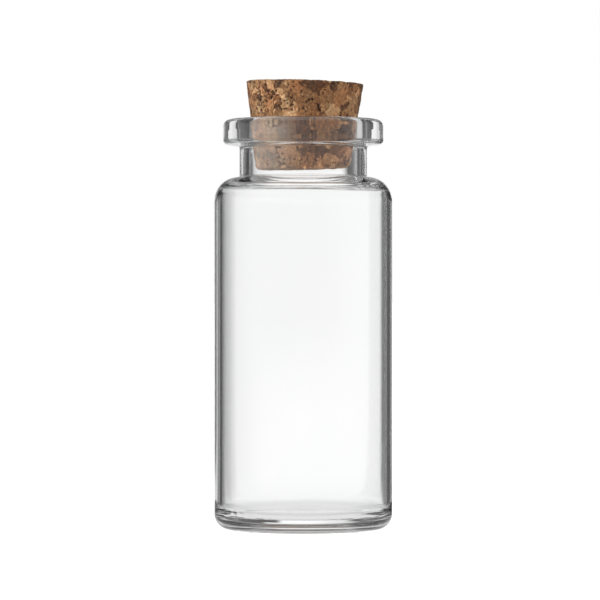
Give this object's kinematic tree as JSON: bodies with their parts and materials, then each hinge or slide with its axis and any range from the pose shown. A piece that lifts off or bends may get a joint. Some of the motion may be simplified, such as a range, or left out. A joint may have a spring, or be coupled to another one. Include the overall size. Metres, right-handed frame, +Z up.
{
  "type": "stoppered glass vial",
  "caption": "Small clear glass sample vial with a flanged mouth, closed by a tapered cork that pulls out upwards.",
  "frame": {"origin": "middle of the vial's base, on the surface it stands on", "axes": "+Z up along the tube towards the cork, +X to the right of the front, -Y towards the front"},
  "size_m": [0.022, 0.022, 0.0554],
  "materials": {
    "clear_glass": "clear, fire-polished tube glass",
    "agglomerated_cork": "sanded agglomerated cork, granules of 1 to 3 mm"
  },
  "bodies": {
    "vial": {"glass_vial": "clear_glass"},
    "cork": {"cork_stopper": "agglomerated_cork"}
  },
  "joints": [
    {"name": "cork_pull", "type": "slide", "parent": "vial", "child": "cork", "axis": [0, 0, 1], "range_m": [0, 0.009]}
  ]
}
